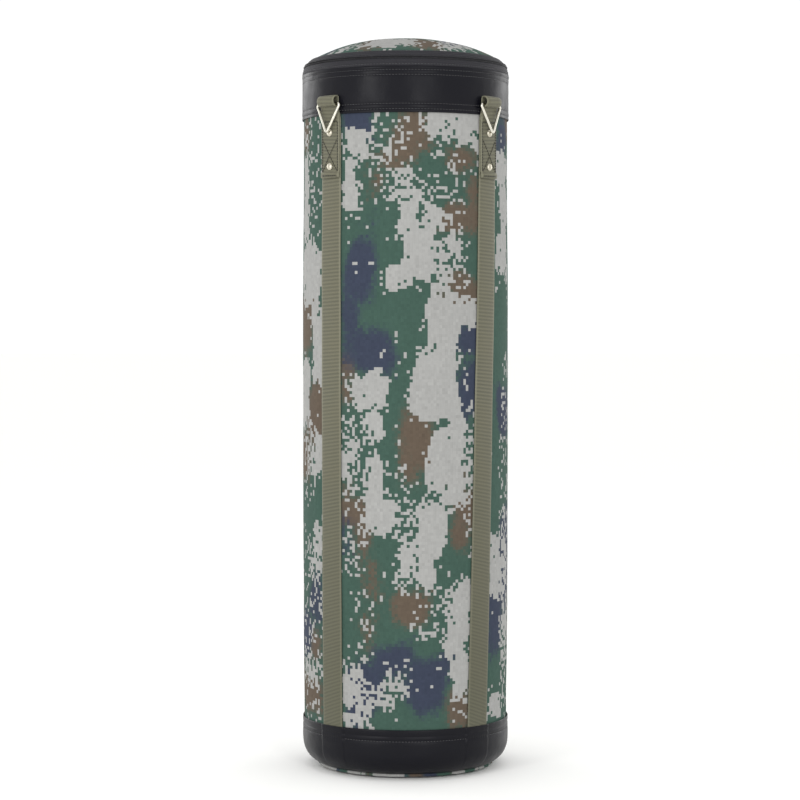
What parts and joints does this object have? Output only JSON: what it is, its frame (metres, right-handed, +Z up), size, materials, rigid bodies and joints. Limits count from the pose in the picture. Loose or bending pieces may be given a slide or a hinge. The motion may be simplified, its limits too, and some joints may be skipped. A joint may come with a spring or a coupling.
{
  "type": "hanging heavy bag",
  "caption": "Stuffed canvas cylinder for punch training, with leather end bands, side webbing straps ending in steel triangle rings, and a zipped crowned cap.",
  "frame": {"origin": "centre of the base, on the surface the bag stands on", "axes": "+Z up along the bag; -Y towards the front strap, +X near the right strap"},
  "size_m": [0.3269, 0.326, 1.0625],
  "materials": {
    "camo_canvas": "matte",
    "black_leather": "satin",
    "zip_tape": "matte",
    "zip_coil": "satin",
    "zip_metal": "satin",
    "olive_webbing": "matte",
    "nickel_steel": "polished",
    "rivet_nickel": "satin",
    "foam": "matte",
    "liner_cloth": "matte",
    "textile_fill": "matte"
  },
  "bodies": {
    "bag": {"canvas_body": "camo_canvas", "base_disc": "camo_canvas", "top_band": "black_leather", "base_band": "black_leather", "zip_tape_outer": "zip_tape", "cap_hinge_strip": "zip_tape", "zip_coil_outer": "zip_coil", "zip_stops": "zip_metal", "strap_front": "olive_webbing", "strap_right": "olive_webbing", "strap_back": "olive_webbing", "strap_left": "olive_webbing", "strap_rivets": "rivet_nickel", "rivet_washers": "rivet_nickel", "foam_wall": "foam", "top_pad": "foam", "base_pad": "foam", "liner_sack": "liner_cloth", "filling": "textile_fill"},
    "cap": {"top_cap": "camo_canvas", "zip_tape_inner": "zip_tape", "zip_coil_inner": "zip_coil"},
    "slider": {"zip_slider": "zip_metal"},
    "pull": {"zip_pull": "zip_metal"},
    "front_ring": {"ring_front": "nickel_steel"},
    "right_ring": {"ring_right": "nickel_steel"},
    "back_ring": {"ring_back": "nickel_steel"},
    "left_ring": {"ring_left": "nickel_steel"}
  },
  "joints": [
    {"name": "front_ring_swing", "type": "hinge", "parent": "bag", "child": "front_ring", "pos_m": [0, -0.15485, 0.9635], "axis": [-1, 0, 0], "range_deg": [0, 174]},
    {"name": "right_ring_swing", "type": "hinge", "parent": "bag", "child": "right_ring", "pos_m": [0.15394, 0.01672, 0.9635], "axis": [0.108, -0.9942, 0], "range_deg": [0, 174]},
    {"name": "back_ring_swing", "type": "hinge", "parent": "bag", "child": "back_ring", "pos_m": [0, 0.15485, 0.9635], "axis": [1, 0, 0], "range_deg": [0, 174]},
    {"name": "left_ring_swing", "type": "hinge", "parent": "bag", "child": "left_ring", "pos_m": [-0.15485, 0, 0.9635], "axis": [0, 1, 0], "range_deg": [0, 174]},
    {"name": "cap_open", "type": "hinge", "parent": "bag", "child": "cap", "pos_m": [-0.10437, 0.10437, 1.0224], "axis": [-0.7071, -0.7071, 0], "range_deg": [0, 105]},
    {"name": "slider_travel", "type": "hinge", "parent": "cap", "child": "slider", "pos_m": [0, 0, 1.0222], "axis": [0, 0, -1], "range_deg": [0, 300]},
    {"name": "pull_flip", "type": "hinge", "parent": "slider", "child": "pull", "pos_m": [-0.0434, 0.14448, 1.0243], "axis": [-0.1336, 0.466, -0.8746], "range_deg": [0, 175]}
  ]
}
